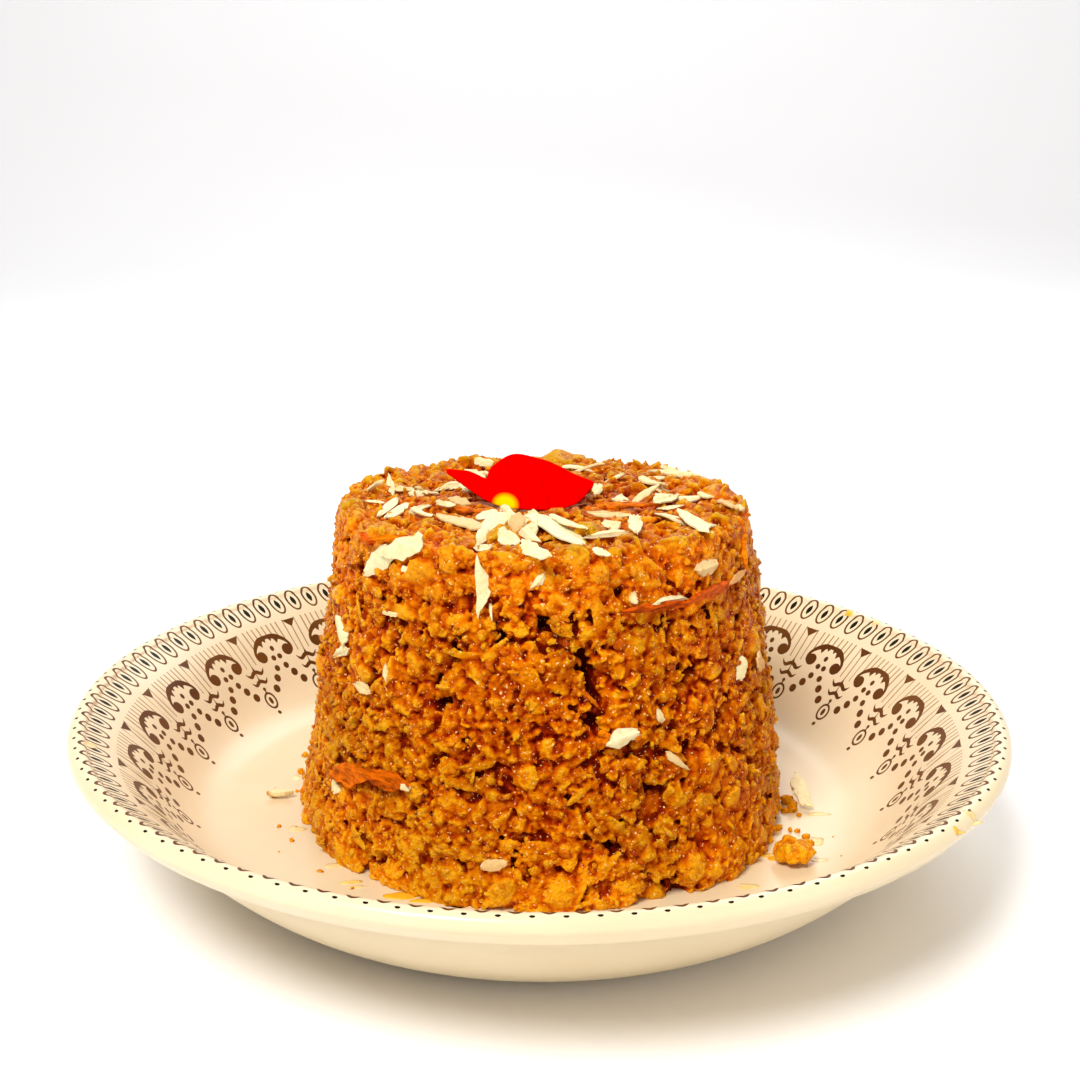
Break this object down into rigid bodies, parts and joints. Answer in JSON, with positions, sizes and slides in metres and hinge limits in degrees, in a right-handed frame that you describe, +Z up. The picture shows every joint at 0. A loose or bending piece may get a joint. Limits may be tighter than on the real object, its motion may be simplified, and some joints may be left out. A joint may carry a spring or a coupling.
{
  "type": "bowl of palkova",
  "caption": "Shallow glazed bowl holding a moulded, crumbly mound of caramel-brown milk sweet topped with nut flakes and a red petal.",
  "frame": {"origin": "centre of the foot, on the surface that the bowl stands on", "axes": "+Z up; -Y faces the picture's camera, +X to its right"},
  "size_m": [0.16, 0.16, 0.0686],
  "materials": {
    "glaze": "glossy cream glaze with a brown printed border inside the rim",
    "curd": "moist caramel-brown curds; matte_plastic stands in for food",
    "petal": "soft red flower petal; matte_plastic stands in for a petal",
    "nut": "dry cream nut flakes; matte_plastic stands in for nut"
  },
  "bodies": {
    "root": {"bowl": "glaze", "palkova": "curd", "petal": "petal", "fallen_crumb": "curd", "fallen_flake": "nut", "fallen_sliver": "nut"}
  },
  "joints": []
}
